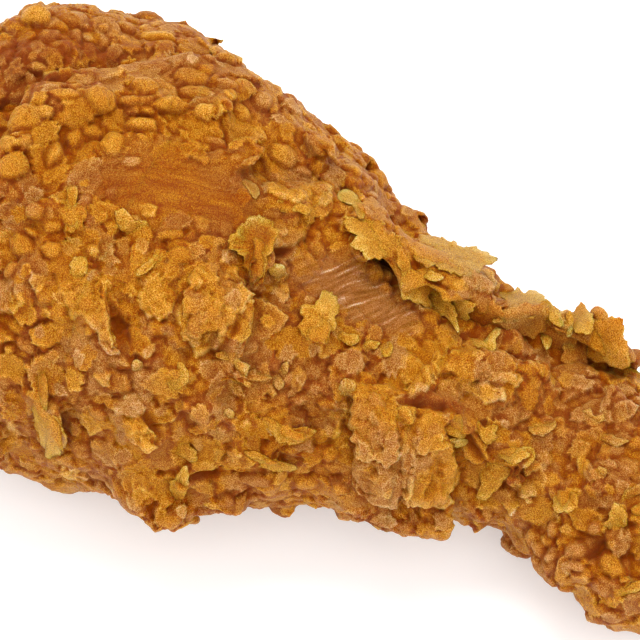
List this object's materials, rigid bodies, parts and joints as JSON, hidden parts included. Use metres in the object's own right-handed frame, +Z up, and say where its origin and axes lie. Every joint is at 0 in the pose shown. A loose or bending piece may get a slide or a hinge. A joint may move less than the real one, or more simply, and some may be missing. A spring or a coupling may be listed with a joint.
{
  "type": "fried chicken drumstick",
  "caption": "Whole fried chicken drumstick with a thick craggy flour crust, lying on its side, meaty end at -X and knuckle at +X.",
  "frame": {"origin": "under the middle of the drumstick's box, on the surface it lies on", "axes": "+X from the meaty end to the knuckle end, +Z up from the surface it lies on, -Y towards the side that shows best"},
  "size_m": [0.1214, 0.0642, 0.0541],
  "materials": {
    "crust": "golden brown fried flour crust, rough and granular, with darker crevices, pale flake edges and an oily sheen in places"
  },
  "bodies": {
    "root": {"drumstick": "crust"}
  },
  "joints": []
}
